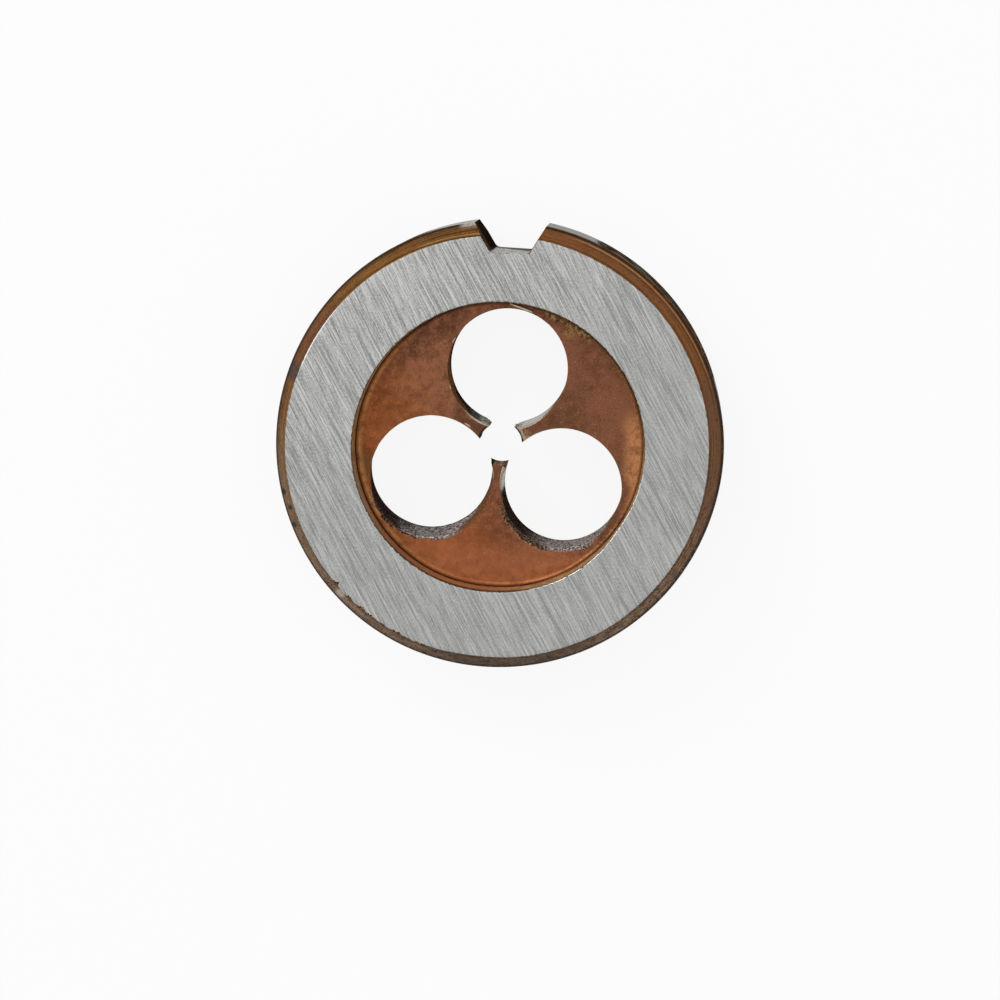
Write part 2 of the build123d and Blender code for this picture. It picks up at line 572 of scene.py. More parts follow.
# %% Painted golden highlight patch
gold_reach = step(facing(outward, 3, 6, 22), 0.0, 1.0, 4.72, 4.28)
gold_reach = stir(gold_reach, mottle, 0.8)
painted_gold_patch = step(calculate("SUBTRACT", radius, gold_reach), 0.0, 0.44)
painted_gold_patch = both(painted_gold_patch, facing(outward, 355, 10, 26))
painted_gold_patch = both(painted_gold_patch, step(mottle, 0.40, 0.58, 0.55, 1.0))
painted_gold_patch = both(painted_gold_patch, step(grain, 0.36, 0.60, 0.65, 1.0))
scale = tint(scale, painted_gold_patch, 0.82, (208, 144, 96))
olive_edge = both(facing(outward, 350, 42, 66), step(radius, 4.92, 5.02))
scale = tint(scale, both(olive_edge, step(grain, 0.46, 0.58)), 0.60, (158, 112, 64))

# %% Wall and corner of the recess
wall = step(height, 3.88, 3.92)
wall_tone = two_tones(mottle, 0.36, 0.62, (178, 136, 90), (226, 182, 132))
wall_tone = tint(wall_tone, facing(outward, 238, 28, 50), 0.70, (200, 122, 78))
wall_tone = tint(wall_tone, step(grain, 0.56, 0.66), 0.6, (150, 120, 72))
scale = mix_colours(wall, scale, wall_tone)

# %% Painted shade lines in the corner and under the lip
# Painted shade in the corner of the recess, and under the lip on the side that faces away from the light.
corner_shade_line = at_height(height, 3.90, 0.09, 0.05)
corner_shade_line = both(corner_shade_line, step(mottle, 0.34, 0.46, 0.45, 1.0))
corner_shade_line = both(corner_shade_line, step(facing(outward, 352, 50, 70), 0.0, 1.0, 1.0, 0.35))
scale = tint(scale, both(corner_shade_line, step(radius, 5.04, 5.07)), 0.95, (56, 32, 18))
under_lip = step(height, 4.55, 4.85)
lip_shade = step(facing(outward, 240, 34, 60), 0.0, 1.0, 0.45, 1.0)
lip_shade = both(under_lip, lip_shade, step(mottle, 0.36, 0.56, 0.5, 1.0))
scale = tint(scale, lip_shade, 0.9, (52, 36, 22))

# %% [markdown]
# Small things make scale look real: pale grains and dark pits all over, a few crumbs of loose scale
# under the lip, and two long scratches between the wall and the nearest chip hole.

# %% Specks and pits on the scale
pale = both(
    step(speckle(place, 0.075, 2.0, seed=6), 0.63, 0.71),
    step(mottle, 0.44, 0.60, 0.10, 1.0),
)
scale = tint(scale, pale, 0.50, (186, 142, 106))
crumb_side = both(facing(outward, 63, 7, 13), step(radius, 4.78, 4.92))
crumbs = both(crumb_side, step(speckle(place, 0.10, 2.0, seed=12), 0.50, 0.58))
scale = tint(scale, crumbs, 0.80, (164, 146, 96))
crumb_shade = both(crumb_side, step(speckle(place, 0.14, 2.0, seed=13), 0.50, 0.40))
scale = tint(scale, crumb_shade, 0.80, (58, 46, 28))
golden_bit = both(spot(place, 2.26, 4.12, 0.10, 0.16), step(grain, 0.40, 0.54))
scale = tint(scale, golden_bit, 0.55, (170, 128, 74))
dark_scratch = stroke(place, (0.20, 5.06), (0.90, 4.85), 0.016, 0.020)
scale = tint(scale, dark_scratch, 0.85, (52, 36, 26))
bright_scratch = stroke(place, (0.12, 5.02), (0.84, 4.80), 0.012, 0.020)
scale = tint(scale, bright_scratch, 0.90, (224, 210, 182))
pit = step(speckle(place, 0.12, 2.0, seed=8), 0.64, 0.72)
scale = tint(scale, pit, 0.35, (62, 40, 28))

# %% [markdown]
# Soot and grit spill out of the two lower chip holes onto the web. Each smudge is drawn by the
# distance from its hole's edge, which noise makes ragged, and by the side of the hole: black soot on
# one side, grey grit on the next, and a few pale specks along the soot's fringe.

# %% Smudges beside two chip holes
flat_place = flattened(place)
SMUDGES = [
    # hole's place, radius, then for soot and for grit: the middle angle, the half angle and the reach
    (-2.346, -1.316, 2.215, (228, 24, 0.04), (262, 26, 0.03)),
    (2.324, -1.430, 2.173, (231, 20, 0.10), (268, 26, 0.10)),
]
for hole_x, hole_y, hole_radius, soot_zone, grit_zone in SMUDGES:
    from_hole = calculate_vector("SUBTRACT", flat_place, (hole_x, hole_y, 0))
    gap = calculate("SUBTRACT", calculate_vector("LENGTH", from_hole), hole_radius)
    ragged = stir(stir(gap, mottle, 0.25), grain, 0.20)
    from_hole = calculate_vector("NORMALIZE", from_hole)
    angle, half_angle, reach = grit_zone
    around_here = facing(from_hole, angle, half_angle, 44)
    grit = both(step(ragged, reach + 0.03, reach), around_here)
    grit_tone = two_tones(grain, 0.42, 0.58, (78, 68, 62), (182, 172, 166))
    scale = tint(scale, grit, 0.95, grit_tone)
    angle, half_angle, reach = soot_zone
    around_here = facing(from_hole, angle, half_angle, 36)
    fringe = both(step(ragged, reach + 0.14, reach + 0.07), around_here)
    scale = tint(scale, both(fringe, step(grain, 0.46, 0.58)), 0.40, (170, 146, 124))
    soot_and_shade = both(step(ragged, reach + 0.07, reach), around_here)
    soot_and_shade_tone = two_tones(grain, 0.44, 0.60, (34, 25, 19), (104, 78, 60))
    scale = tint(scale, soot_and_shade, 0.95, soot_and_shade_tone)

# %% Tips of the lands, and small bright flecks
from_bore = calculate_vector("DISTANCE", flat_place, BORE_DRIFT)
on_left = step(lean(outward, (-0.85, 0.53, 0)), 0.2, 0.6)
tip_edge = both(step(from_bore, 0.87, 0.80), on_left)
scale = tint(scale, tip_edge, 0.90, (36, 26, 20))
scale = tint(scale, spot(place, -0.49, 0.77, 0.05, 0.05), 0.9, (216, 206, 182))
FLECKS = [((-1.80, 3.66), (-1.85, 3.58)), ((-1.86, 1.97), (-1.85, 1.92)), ((-1.22, 0.65), (-1.12, 0.60))]
for start, end in FLECKS:
    scale = tint(scale, stroke(place, start, end, 0.010, 0.025), 0.75, (206, 190, 164))
right_tip = both(spot(place, 0.86, 0.36, 0.16, 0.16), step(grain, 0.44, 0.56))
scale = tint(scale, right_tip, 0.45, (190, 160, 132))

# %% The recess scale is dressed
scale = mix_colours(step(height, *FRONT_STARTS), plain_scale, scale)
roughness = step(mottle, 0.3, 0.7, 0.54, 0.42)
metallic = step(height, 3.84, 3.92, 0.85, 0.0)
dress(recess_scale, scale, roughness, metallic, gloss=0.10, bump=(grain, 0.010, 0.4))

# %% [markdown]
# ### Bevels
#
# The bevels have the same skin, but they were turned, so its colour runs in fine rings. It is golden
# on one side of the disc, reddish next to the notch, and dull, greyish and darker on the lower side,
# which is partly oxide and partly painted shade. Most of this is a list: where round the disc a patch
# lies, and its colour.

# %% Bevel scale
bevel_scale, place = new_finish("bevel_scale")
_, outward = round_axis(place)
height = height_of(place)
rings = turning_lines(place, 0.050, seed=3)
mottle = speckle(place, 0.40, 4.0, seed=4, rough=0.7)
grain = speckle(place, 0.060, 2.0, seed=5, rough=0.7)
turned_tone = blend((rings, 0.58), (grain, 0.26), (mottle, 0.16))
scale = two_tones(turned_tone, 0.38, 0.62, (80, 50, 19), (160, 107, 48))
even_tone = blend((rings, 0.20), (mottle, 0.35), (grain, 0.45))
dull_scale = two_tones(even_tone, 0.38, 0.62, (66, 50, 38), (158, 126, 99))
# Partly dull oxide and partly painted shade on the lower side of the bevel.
dull_and_shaded = facing(outward, 268, 54, 100)
scale = tint(scale, dull_and_shaded, 0.95, dull_scale)

# %% Patches of the bevel
# The dark patch at 276 degrees, on the lower side, is painted shade.
BEVEL_PATCHES = [
    # middle angle, full half angle, faded half angle, strength, colour
    (48, 34, 46, 0.60, (132, 82, 50)),
    (0, 14, 26, 0.60, (116, 85, 66)),
    (276, 14, 28, 0.62, (72, 54, 40)),
    (154, 6, 14, 0.50, (112, 66, 44)),
    (200, 12, 24, 0.45, (138, 106, 72)),
]
for middle, near, far, strength, patch_tone in BEVEL_PATCHES:
    scale = tint(scale, facing(outward, middle, near, far), strength, patch_tone)
upper = step(height, *FRONT_STARTS)
violet_spot = both(facing(outward, 163.4, 1.2, 3.2), step(mottle, 0.34, 0.52, 0.6, 1.0))
scale = tint(scale, both(violet_spot, upper), 0.80, (76, 66, 62))

# %% Dark and bright rings of the bevel
BEVEL_RINGS = [
    # height, outer and inner half width, where it shows, strength, colour
    (4.26, 0.11, 0.04, step(mottle, 0.33, 0.50, 0.55, 1.0), 0.90, (34, 24, 15)),
    (4.93, 0.08, 0.02, step(mottle, 0.36, 0.56), 0.45, (60, 40, 24)),
    (4.50, 0.05, 0.02, facing(outward, 42, 22, 34), 0.60, (66, 40, 24)),
    (4.40, 0.05, 0.02, facing(outward, 48, 20, 30), 0.50, (206, 160, 104)),
]
for level, outer, inner, where, strength, ring_tone in BEVEL_RINGS:
    ring = both(at_height(height, level, outer, inner), where)
    scale = tint(scale, ring, strength, ring_tone)

# %% Pits and rubbed places of the bevel
pit = step(speckle(place, 0.12, 2.0, seed=9), 0.58, 0.66)
scale = tint(scale, both(pit, step(dull_and_shaded, 0, 1, 0.35, 0.75)), 1.0, (40, 28, 18))
rubbed = step(speckle(place, 0.09, 2.0, seed=10), 0.62, 0.70)
scale = tint(scale, both(rubbed, step(dull_and_shaded, 0, 1, 0.2, 0.7)), 0.75, (176, 150, 122))
for x, y, size in ((-7.55, -2.13, 0.07), (-7.25, -2.66, 0.05), (-7.09, -3.28, 0.07)):
    scale = tint(scale, spot(place, x, y, size, 0.08), 0.85, (34, 26, 20))
scale = tint(scale, spot(place, -5.28, -5.59, 0.10, 0.14), 0.80, (196, 182, 168))

# %% Wear beside the notch
notch_wear = both(spot(place, -1.25, 7.85, 0.40, 0.30), step(height, 4.50, 4.40))
notch_wear = both(notch_wear, step(grain, 0.40, 0.54, 0.35, 1.0), upper)
scale = tint(scale, notch_wear, 0.90, (208, 200, 188))
for level, band_tone in ((4.40, (54, 38, 30)), (4.62, (66, 42, 26)), (4.86, (206, 160, 92))):
    band = both(at_height(height, level, 0.06, 0.02), facing(outward, 103, 7, 14))
    band = both(band, step(rings, 0.30, 0.50, 0.5, 1.0), upper)
    scale = tint(scale, band, 0.75, band_tone)
notch_dark = spot(place, -0.98, 7.60, 0.06, 0.14)
notch_dark = both(notch_dark, step(grain, 0.60, 0.50, 0.5, 1.0))
scale = tint(scale, notch_dark, 0.85, (50, 40, 36))
roughness = step(mottle, 0.3, 0.7, 0.54, 0.42)
dress(bevel_scale, scale, roughness, metallic=0.40, bump=(turned_tone, 0.008, 0.5))

# %% [markdown]
# Where the grinding wheel broke through to the recess it left a fine lip. Most of it is dark and
# ragged, and on one side a bright line is painted on it as a highlight of the light.

# %% Recess lip
recess_lip, place = new_finish("recess_lip")
_, outward = round_axis(place)
chips = speckle(place, 0.16, 3.0, seed=3)
lip = two_tones(chips, 0.40, 0.60, (52, 38, 24), (128, 100, 58))
# A painted highlight: a bright line on the side of the lip that faces the key light.
painted_highlight_side = both(facing(outward, 322, 24, 40), step(chips, 0.34, 0.50))
lip = tint(lip, painted_highlight_side, 1.0, (244, 244, 242))
dress(recess_lip, lip, step(chips, 0.3, 0.7, 0.5, 0.3), metallic=0.8, gloss=0.5)

# %% [markdown]
# ### Cut surfaces
#
# The chip holes were drilled and then went through the furnace, so their walls are rough. The walls
# that face one way are painted dark as shade, and the others are bare grey grit. Beside the bore they
# were ground again, to sharpen the cutting edges. Which way a wall faces is worked out by lean, the
# dot product of its own normal with a direction. The object's own normal turns with the die, so the
# pattern stays where it is however the die is turned.

# %% Drilled walls
drilled_wall, place = new_finish("drilled_wall")
radius, _ = round_axis(place)
height = height_of(place)
wall_faces = calculate_vector("NORMALIZE", flattened(own_normal(place)))
grit = speckle(place, 0.095, 3.0, seed=1, rough=0.7)
smear = speckle(place, 0.40, 3.0, seed=2)
# Painted shade: walls that face away from the light are painted dark, and greyer near the bore.
swing = stir(lean(wall_faces, (0.86, -0.51, 0)), smear, 0.9)
bare_strip = spot(place, 0.45, -1.35, 0.30, 0.25)
soot_and_shade = both(step(swing, -0.42, 0.12), outside(bare_strip))
keen = both(step(radius, 2.6, 1.7), outside(soot_and_shade))
wall = two_tones(grit, 0.40, 0.62, (50, 43, 41), (238, 228, 224))
wall = tint(wall, keen, 0.75, (238, 238, 232))
soot_and_shade_tone = two_tones(grit, 0.42, 0.68, (30, 24, 21), (104, 80, 66))
shade_tone_near_bore = two_tones(grit, 0.42, 0.64, (44, 46, 40), (120, 124, 114))
soot_and_shade_tone = mix_colours(step(radius, 1.8, 1.1), soot_and_shade_tone, shade_tone_near_bore)
wall = tint(wall, soot_and_shade, 0.96, soot_and_shade_tone)

# %% [markdown]
# On the walls the web's brown skin ends in a crescent: thick where a wall faces one way, and ragged
# below. How far it creeps down is a sum of these things, and the skin lies wherever the height plus
# that creep is above the web's face.

# %% Brown scale creeps over the edge and down the walls
creep_right = step(lean(wall_faces, (-0.87, 0.50, 0)), 0.88, 1.0)
creep_left = step(lean(wall_faces, (0.98, -0.17, 0)), 0.72, 0.97)
creep = blend((creep_right, 0.9), (creep_left, 1.3), (smear, 1.0), (grit, 0.5))
creep = calculate("SUBTRACT", calculate("ADD", creep, 0.08), 0.75)
creep = both(creep, step(radius, 1.5, 2.4))
facing_left = step(lean(wall_faces, (-1, 0, 0)), 0.75, 0.95)
creep = calculate("MULTIPLY_ADD", facing_left, 2.6, creep)
creep = calculate("MULTIPLY_ADD", spot(place, -1.72, 1.66, 0.55, 0.45), 1.3, creep)
low_rim = spot(place, -0.75, -2.74, 0.55, 0.50)
creep = calculate("MULTIPLY_ADD", low_rim, 0.75, creep)
skin = step(calculate("ADD", height, creep), WEB_TOP, WEB_TOP + 0.08)
skin_tone = two_tones(grit, 0.38, 0.62, (124, 84, 58), (172, 118, 84))
skin = both(skin, step(creep, 0.0, 0.08))
bare_side = step(lean(wall_faces, (0.26, 0.966, 0)), 0.36, 0.54)
lower_half = step(lean(place, (0, 1, 0)), 0.5, 0.0)
bare_side = both(bare_side, lower_half, outside(low_rim))
skin = both(skin, outside(bare_side))
wall = mix_colours(skin, wall, skin_tone)
keen = both(keen, outside(skin))

# %% Edges of the drilled walls
near_bore = step(radius, 2.5, 1.2)
edge_foot = step(near_bore, 0.0, 1.0, 3.72, 3.55)
edge = step(calculate("SUBTRACT", height, edge_foot), 0.0, 0.06)
edge = both(edge, near_bore, step(grit, 0.34, 0.46, 0.5, 1.0))
undressed = spot(place, -0.55, -1.90, 0.70, 0.25)
edge = both(edge, outside(undressed))
wall = tint(wall, edge, 0.90, (238, 226, 200))
# Painted shade on the lowest part of the walls, deep in the holes.
wall = tint(wall, step(height, 1.50, 1.34), 0.9, (34, 29, 26))
metallic = step(keen, 0.0, 1.0, 0.0, 0.80)
dress(drilled_wall, wall, 0.62, metallic, bump=(grit, 0.03, 0.7))

# %% [markdown]
# The thread and the cones at the mouths of the bore are small, so a few soft spots are enough. Both
# are painted dark as shade where they face one way, and their black spots and strips are painted shade.

# %% Cut thread
cut_thread, place = new_finish("cut_thread")
grit = speckle(place, 0.07, 3.0, seed=4)
thread_tone = two_tones(grit, 0.38, 0.66, (112, 86, 68), (172, 138, 112))
top_turn = step(height_of(place), 3.42, 3.58)
shaded_strip = stroke(flattened(place), (0.58, 0.60), (0.68, 0.42), 0.02, 0.03)
thread_shaded_side = step(lean(own_normal(place), (0.9, 0.1, 0)), 0.0, 0.5)
# Painted shade: the black spots, the dark strip and the side that faces one way.
THREAD_TINTS = [
    (top_turn, 0.70, (140, 98, 74)),
    (spot(place, -0.24, -0.76, 0.04, 0.06), 0.92, (20, 15, 12)),
    (spot(place, 0.24, -0.76, 0.05, 0.08), 0.60, (50, 38, 30)),
    (shaded_strip, 0.90, (26, 20, 17)),
    (spot(place, 0.79, 0.17, 0.05, 0.05), 0.92, (18, 14, 12)),
    (thread_shaded_side, 0.9, (20, 17, 15)),
]
for where, strength, tone in THREAD_TINTS:
    thread_tone = tint(thread_tone, where, strength, tone)
roughness = step(grit, 0.3, 0.7, 0.5, 0.35)
dress(cut_thread, thread_tone, roughness, metallic=step(thread_shaded_side, 0.0, 1.0, 0.45, 0.0))

# %% Lead cone
lead_bevel, place = new_finish("lead_bevel")
grit = speckle(place, 0.07, 3.0, seed=5)
cone_tone = two_tones(grit, 0.40, 0.58, (122, 96, 76), (222, 208, 186))
shaded_side = step(lean(own_normal(place), (0.80, 0.60, 0)), -0.25, 0.25)
shaded_strip = stroke(flattened(place), (0.60, 0.56), (0.66, 0.42), 0.015, 0.02)
# Painted shade: the shaded side, the dark strip and the black spot.
CONE_TINTS = [
    (shaded_side, 0.85, (38, 32, 28)),
    (shaded_strip, 0.85, (30, 24, 20)),
    (spot(place, 0.80, 0.17, 0.04, 0.05), 0.92, (18, 14, 12)),
    (spot(place, 0.72, 0.30, 0.05, 0.06), 0.60, (96, 66, 48)),
]
for where, strength, tone in CONE_TINTS:
    cone_tone = tint(cone_tone, where, strength, tone)
dress(lead_bevel, cone_tone, 0.4, metallic=step(shaded_side, 0.0, 1.0, 0.7, 0.0))

# %% [markdown]
# The notch was milled. Its floor still shows the cutter's marks in bare metal, and its flanks are
# under dark scale. The dimples and the chipped places along the ring's edge are scale too.

# %% Milled notch
milled_notch, place = new_finish("milled_notch")
parts = parts_of(place)
cutter_marks = straight_lines(place, 90.0, length=0.4, width=0.06, seed=2)
dirt = speckle(place, 0.10, 4.0, seed=5, rough=0.7)
bare = two_tones(cutter_marks, 0.38, 0.62, (150, 148, 143), (238, 236, 230))
bare = tint(bare, step(dirt, 0.52, 0.60), 0.80, (78, 70, 62))
flank = step(calculate("ABSOLUTE", parts["X"]), 0.60, 0.70)
flank_tone = two_tones(dirt, 0.42, 0.64, (26, 19, 14), (136, 104, 80))
bare = mix_colours(flank, bare, flank_tone)
bare = tint(bare, both(flank, step(parts["Z"], 4.4, 3.0)), 0.85, (18, 14, 12))
shade_edge = calculate("MULTIPLY_ADD", parts["X"], 1.1, 1.2)
shade = step(parts["Z"], calculate("ADD", shade_edge, 0.7), shade_edge)
bare = tint(bare, shade, 0.9, (28, 24, 22))
metallic = step(flank, 0.0, 0.8, 0.50, 0.0)
dress(milled_notch, bare, 0.55, metallic, bump=(dirt, 0.02, 0.5))

# %% Dimples and chipped edges
dark_scale, place = new_finish("dark_scale")
dark_patches = speckle(place, 0.10, 3.0, seed=7, rough=0.65)
crust_colour = two_tones(dark_patches, 0.38, 0.62, (62, 42, 28), (150, 112, 76))
dress(dark_scale, crust_colour, roughness=0.7, metallic=0.2, bump=(dark_patches, 0.02, 0.5))
print("finishes:", [material.name for material in bpy.data.materials])

# %% [markdown]
# ## A lathe in Geometry Nodes
#
# Nearly every shape on a die is turned, so the first tree is a lathe. It takes a chain of points,
# the profile from one end of the axis to the other, and spins it: a flat grid is given as many
# columns as the lathe has sides, and each grid point is then sent to its profile point, turned by
# its column's share of a full turn. Merging the points that meet closes the seam and the poles.

# %% Starting a tree
def new_tree(name, *inputs):
    """A Geometry Nodes tree with a geometry input, a geometry output and these named inputs."""
    tree = bpy.data.node_groups.new(name, "GeometryNodeTree")
    tree.interface.new_socket("Geometry", in_out="OUTPUT", socket_type="NodeSocketGeometry")
    tree.interface.new_socket("Geometry", in_out="INPUT", socket_type="NodeSocketGeometry")
    for socket_name, kind, value in inputs:
        socket = tree.interface.new_socket(socket_name, in_out="INPUT", socket_type=f"NodeSocket{kind}")
        if value is not None:
            socket.default_value = value
    return tree, tree.nodes.new("NodeGroupInput").outputs


def end_tree(geometry, finish=None):
    """Give the last geometry its finish, if there is one, and join it to the tree's output."""
    tree = geometry.id_data
    if finish is not None:
        feeds = {"Geometry": geometry, "Material": finish}
        geometry = add_node(tree, "GeometryNodeSetMaterial", feeds).outputs[0]
    output = tree.nodes.new("NodeGroupOutput")
    tree.links.new(geometry, output.inputs["Geometry"])


# %% [markdown]
# The trees below share a few steps: sending points somewhere else, setting one shape on many points,
# and roughening a surface with noise. Copies are made real at once, so that the steps after them,
# and the export, see one plain mesh. The noise has no random start, so it is the same each time.

# %% Steps that the trees share
def moved(geometry, **feeds):
    """Send each point to a Position, or push it by an Offset."""
    feeds = {"Geometry": geometry, **feeds}
    return add_node(geometry.id_data, "GeometryNodeSetPosition", feeds).outputs[0]


def set_on(points, shape, **feeds):
    """Set one shape on each point, and make the copies real."""
    tree = points.id_data
    feeds = {"Points": points, "Instance": shape, **feeds}
    copies = add_node(tree, "GeometryNodeInstanceOnPoints", feeds).outputs[0]
    return add_node(tree, "GeometryNodeRealizeInstances", {"Geometry": copies}).outputs[0]


def roughened(geometry, scale, detail, *amounts):
    """Push each point in or out by noise of half a millimetre each way, times these amounts."""
    tree = geometry.id_data
    noise = add_node(tree, "ShaderNodeTexNoise", {"Scale": scale, "Detail": detail}).outputs["Fac"]
    rise = both(calculate("SUBTRACT", noise, 0.5), *amounts)
    normal = add_node(tree, "GeometryNodeInputNormal").outputs[0]
    return moved(geometry, Offset=scaled(normal, rise))


# %% The lathe tree
lathe, given = new_tree("lathe", ("Sides", "Int", 64))
counted = add_node(lathe, "GeometryNodeAttributeDomainSize", {"Geometry": given["Geometry"]})
rows = counted.outputs["Point Count"]
columns = calculate("ADD", given["Sides"], 1)
grid = add_node(lathe, "GeometryNodeMeshGrid", {"Vertices X": columns, "Vertices Y": rows})
index = add_node(lathe, "GeometryNodeInputIndex").outputs[0]
column = calculate("FLOOR", calculate("DIVIDE", calculate("ADD", index, 0.5), rows))
row = calculate("SUBTRACT", index, calculate("MULTIPLY", column, rows))
position = add_node(lathe, "GeometryNodeInputPosition").outputs[0]
feeds = {"Geometry": given["Geometry"], "Value": position, "Index": row}
sampled = add_node(lathe, "GeometryNodeSampleIndex", feeds, data_type="FLOAT_VECTOR")
profile_point = sampled.outputs["Value"]
angle = calculate("MULTIPLY", calculate("DIVIDE", column, given["Sides"]), 2 * pi)
placed = moved(grid.outputs["Mesh"], Position=spun_by(profile_point, angle))
feeds = {"Geometry": placed, "Distance": 0.0001}
closed = add_node(lathe, "GeometryNodeMergeByDistance", feeds)
end_tree(closed.outputs[0])


def add_lathe(profile, sides):
    """Use the lathe inside another tree."""
    group = add_node(profile.id_data, "GeometryNodeGroup", node_tree=lathe)
    feed(profile.id_data, group, {"Geometry": profile, "Sides": sides})
    return group.outputs[0]


# %% [markdown]
# A tree runs as a modifier on an object that holds only points. Its result is kept as a plain mesh
# at once, so each shape can be checked before the next one is made: it has to be closed, and its
# volume has to be positive, or the cuts further down would go wrong.

# %% Running a tree
def chain_object(name, points, joined=True):
    """A mesh object that holds only some points, joined one after the other or left loose."""
    chain = bpy.data.meshes.new(name)
    chain.from_pydata(points, [(i, i + 1) for i in range(len(points) - 1)] if joined else [], [])
    made = bpy.data.objects.new(name, chain)
    bpy.context.collection.objects.link(made)
    return made


def run_tree(tree, made, **values):
    """Run a tree on an object with these values, and keep the result as a plain mesh.

    Each value goes to the input of its name, where an underscore stands for a space."""
    modifier = made.modifiers.new(tree.name, "NODES")
    modifier.node_group = tree
    items = tree.interface.items_tree
    sockets = {item.name: item.identifier for item in items if item.in_out == "INPUT"}
    for socket_name, value in values.items():
        modifier[sockets[socket_name.replace("_", " ")]] = value
    keep_result(made)
    return made


def keep_result(made):
    """Replace an object's mesh with its evaluated one, and drop its modifiers."""
    graph = bpy.context.evaluated_depsgraph_get()
    result = bpy.data.meshes.new_from_object(made.evaluated_get(graph), depsgraph=graph)
    made.modifiers.clear()
    made.data = result


# %% Facts on points, and a report
def give_facts(made, facts):
    """Store lists of vectors on an object's points, under the names that its tree reads."""
    for name in facts:
        made.data.attributes.new(name, "FLOAT_VECTOR", "POINT")
    for name, values in facts.items():
        made.data.attributes[name].data.foreach_set("vector", np.ravel(values))


def report(made):
    """Print a mesh's size and whether it is closed and turned outwards."""
    work = bmesh.new()
    work.from_mesh(made.data)
    open_edges = sum(not edge.is_manifold for edge in work.edges)
    triangles = sum(len(face.verts) - 2 for face in work.faces)
    volume = work.calc_volume(signed=True)
    print(f"{made.name}: {triangles} triangles, {volume:.3f} mm3, {open_edges} open edges")
    work.free()


# %% [markdown]
# ## The turned blank
#
# The blank is one profile on the lathe: across the web, round the corner of the recess, up its
# wall, over a tiny broken edge onto the ground ring, down the bevel and along the rim, and the same
# again on the back. Corners get rows close beside them, because a smooth shade runs from row to row
# and would otherwise spread over the whole flat face.

# %% The profile's sizes
RIM_RADIUS = 8.0
RING_RADIUS = 7.52
BEVEL_HEIGHT = 0.83
RECESS_RADIUS = 5.165
CORNER_RADIUS = 0.16
WALL_LEAN = radians(1.5)
EDGE_BREAK = 0.02
BLANK_SIDES = 900

# %% The upper half of the profile
wall_foot = RECESS_RADIUS - (DISC_HEIGHT - WEB_TOP) * tan(WALL_LEAN)
corner_start = wall_foot - CORNER_RADIUS * tan(radians(45) + WALL_LEAN / 2)
upper_half = [(radius, WEB_TOP) for radius in (0.0, 2.4, 4.2, 4.7, corner_start - 0.05)]
for part in range(9):
    swing = radians(-90) + part / 8 * (radians(90) - WALL_LEAN)
    corner_height = WEB_TOP + CORNER_RADIUS * (1 + sin(swing))
    upper_half.append((corner_start + CORNER_RADIUS * cos(swing), corner_height))
corner_end = upper_half[-1]
for step_out, step_up in ((0.016, 0.02), (0.003, 0.06)):
    upper_half.append((corner_end[0] + step_out, corner_end[1] + step_up))
for height in (4.2, 4.5, 4.8, DISC_HEIGHT - 2 * EDGE_BREAK, DISC_HEIGHT - EDGE_BREAK):
    upper_half.append((RECESS_RADIUS - (DISC_HEIGHT - height) * tan(WALL_LEAN), height))
upper_half.append((RECESS_RADIUS + 0.3 * EDGE_BREAK, DISC_HEIGHT - 0.3 * EDGE_BREAK))
for radius in (RECESS_RADIUS + EDGE_BREAK, 5.24, 5.5, 7.15, 7.38, RING_RADIUS - 0.02):
    upper_half.append((radius, DISC_HEIGHT))

# %% The bevel's fine grooves
bevel_grooves = [0.0, -0.004, 0.003, -0.006, 0.002, -0.004, 0.003, -0.005]
bevel_grooves += [0.002, -0.012, 0.004, -0.003, 0.0]
bevel_run = Vector((RIM_RADIUS - RING_RADIUS, -BEVEL_HEIGHT))
bevel_out = Vector((BEVEL_HEIGHT, RIM_RADIUS - RING_RADIUS)).normalized()
for number, groove in enumerate(bevel_grooves):
    share = 0.006 + number / (len(bevel_grooves) - 1) * 0.980
    upper_half.append(tuple(Vector((RING_RADIUS, DISC_HEIGHT)) + bevel_run * share + bevel_out * groove))
upper_half += [(RIM_RADIUS, DISC_HEIGHT - BEVEL_HEIGHT - 0.02), (RIM_RADIUS, 4.0), (RIM_RADIUS, 3.2)]
profile = [(radius, 0.0, DISC_HEIGHT - height) for radius, height in upper_half]
profile += [(radius, 0.0, height) for radius, height in reversed(upper_half)]
print("profile rows:", len(profile))

# %% Turning the blank
blank = run_tree(lathe, chain_object("threading_die", profile), Sides=BLANK_SIDES)
report(blank)

# %% [markdown]
# Real edges are never quite true. The recess, the edge of the ring and the rim each sit a few
# hundredths of a millimetre off centre. Both edges of the ring also waver, by a sum of waves round
# the disc, and most where the edge has been knocked. The waves have fixed random phases, so the
# disc comes out the same each time.

# %% Random curves round the disc
chance = np.random.default_rng(11)


def waves(angle, slowest, fastest, count=40):
    """A smooth random curve round the disc, with waves between two counts a turn, about 1 high."""
    counts = chance.integers(slowest, fastest, count)
    phases = chance.uniform(0, 2 * pi, count)
    return sum(np.cos(n * angle + p) for n, p in zip(counts, phases)) / sqrt(count / 2)


def near_angle(angle, middle, width):
    """1 at one angle of the disc, falling off on both sides of it."""
    apart = (angle - radians(middle) + pi) % (2 * pi) - pi
    return np.exp(-((apart / radians(width)) ** 2))


# %% Where each point of the blank is
points = np.empty(len(blank.data.vertices) * 3)
blank.data.vertices.foreach_get("co", points)
points = points.reshape(-1, 3)
point_radius = np.hypot(points[:, 0], points[:, 1])
point_angle = np.arctan2(points[:, 1], points[:, 0])
from_face = DISC_HEIGHT / 2 - np.abs(points[:, 2] - DISC_HEIGHT / 2)
print("points of the blank:", len(points))

